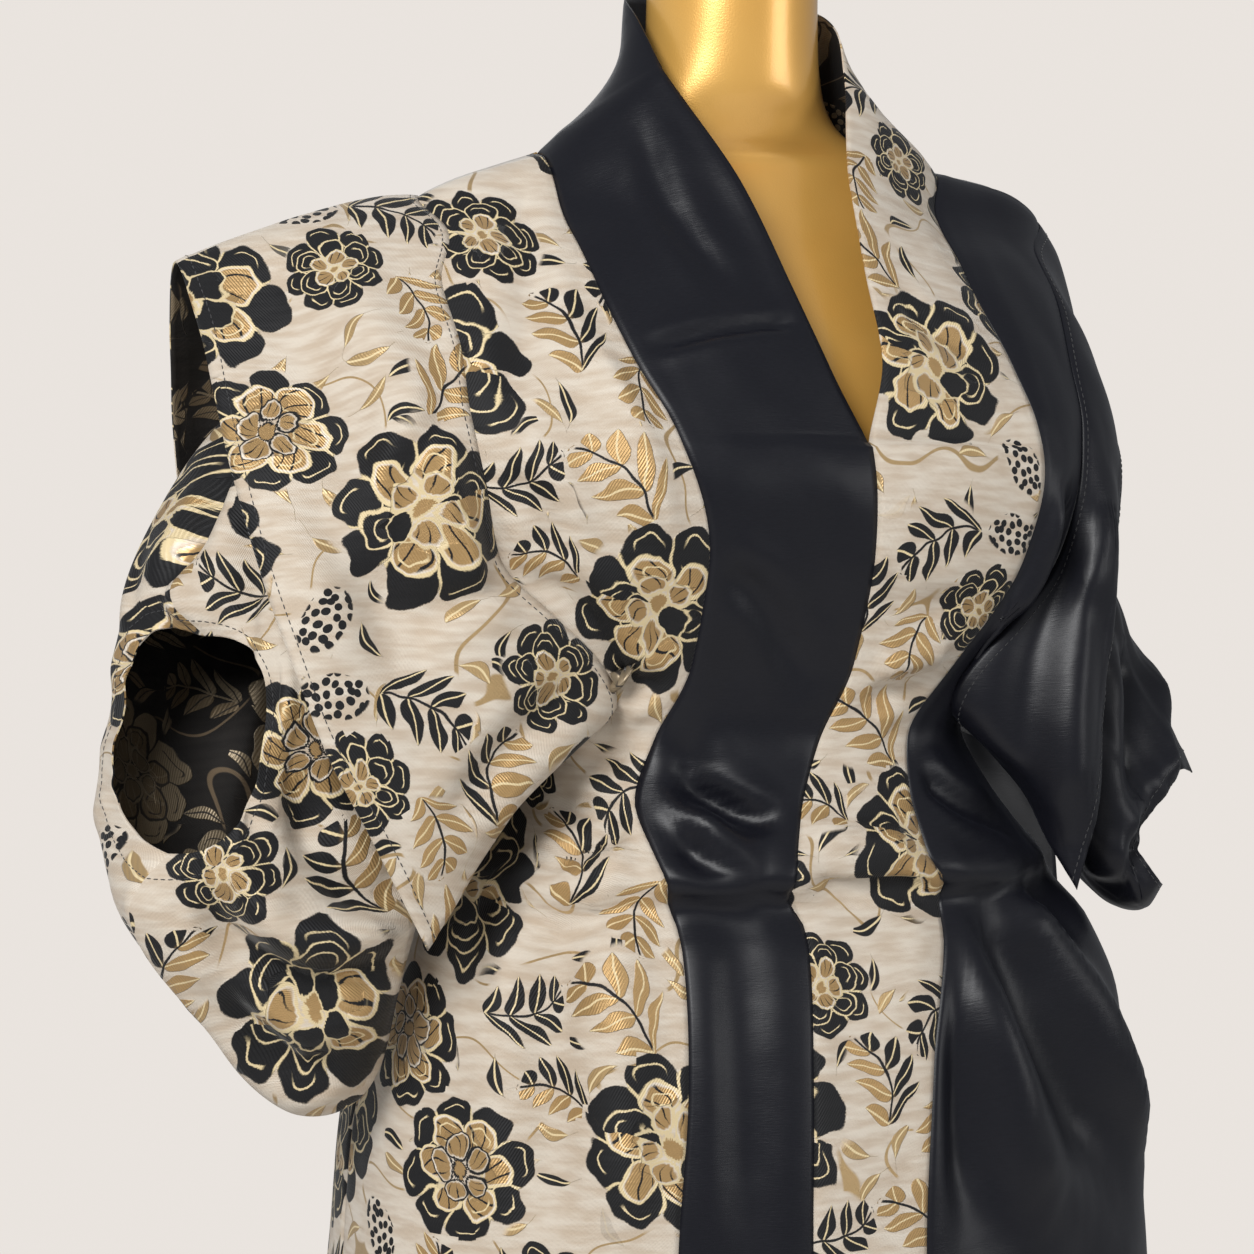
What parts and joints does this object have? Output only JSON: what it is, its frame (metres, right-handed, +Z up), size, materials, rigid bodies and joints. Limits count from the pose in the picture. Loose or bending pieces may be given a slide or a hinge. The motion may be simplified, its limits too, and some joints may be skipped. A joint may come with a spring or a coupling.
{
  "type": "brocade dress on dress form",
  "caption": "Robe-cut dress, half brocade and half satin, with front bands that meet edge to edge, capes over wide sleeves, on a limbless form and stand.",
  "frame": {"origin": "centre of the stand's underside, on the floor", "axes": "+Z up, the dress faces -Y, the wearer's left side is at +X"},
  "size_m": [0.7276, 0.434, 1.644],
  "materials": {
    "brocade": "silky champagne twill with raised black and gold flowers, satin sheen",
    "satin": "blue-black crepe-back satin with a soft sheen",
    "form_gold": "smooth glossy gold-amber lacquer",
    "stand_metal": "brushed metal"
  },
  "bodies": {
    "root": {"front_right": "brocade", "front_left": "satin", "back_right": "brocade", "back_left": "satin", "band_right": "satin", "band_left": "brocade", "sleeve_right": "brocade", "sleeve_left": "satin", "cape_right": "brocade", "cape_left": "satin", "dress_form": "form_gold", "stand_pole": "stand_metal", "stand_base": "stand_metal"}
  },
  "joints": []
}
